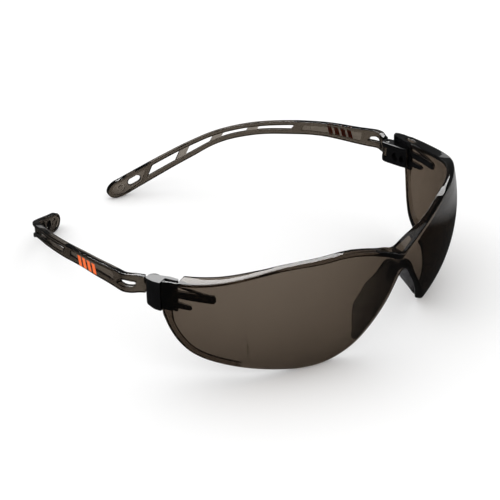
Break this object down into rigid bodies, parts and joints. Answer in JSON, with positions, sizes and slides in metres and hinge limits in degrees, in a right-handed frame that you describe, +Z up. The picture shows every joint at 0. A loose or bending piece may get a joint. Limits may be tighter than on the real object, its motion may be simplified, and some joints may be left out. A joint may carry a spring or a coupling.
{
  "type": "safety glasses",
  "caption": "Wrap-around smoke-tinted safety glasses with a one-piece lens, soft nose piece and slim windowed temples that fold on pinned hinges",
  "frame": {"origin": "centre of the bounding box in plan, on the surface that the lens bottoms and temple tips rest on", "axes": "+X to the wearer's left, +Y back towards the temple tips, +Z up"},
  "size_m": [0.146, 0.1621, 0.0465],
  "materials": {
    "smoke_lens": "clear polished smoke-tinted polycarbonate",
    "smoke_temple": "translucent smoke polycarbonate, polished",
    "black_plastic": "gloss black moulded nylon",
    "nose_rubber": "soft dark elastomer, satin",
    "pin_steel": "plain steel pin"
  },
  "bodies": {
    "front": {"lens": "smoke_lens", "nose_piece": "nose_rubber", "hinge_block_right": "black_plastic", "hinge_block_left": "black_plastic", "hinge_pin_right": "pin_steel", "hinge_pin_left": "pin_steel"},
    "temple_right_arm": {"temple_right": "smoke_temple"},
    "temple_left_arm": {"temple_left": "smoke_temple"}
  },
  "joints": [
    {"name": "right_temple_fold", "type": "hinge", "parent": "front", "child": "temple_right_arm", "pos_m": [-0.0672, -0.0227, 0.0331], "axis": [0, 0, -1], "range_deg": [0, 68]},
    {"name": "left_temple_fold", "type": "hinge", "parent": "front", "child": "temple_left_arm", "pos_m": [0.0672, -0.0227, 0.0331], "axis": [0, 0, 1], "range_deg": [0, 78]}
  ]
}
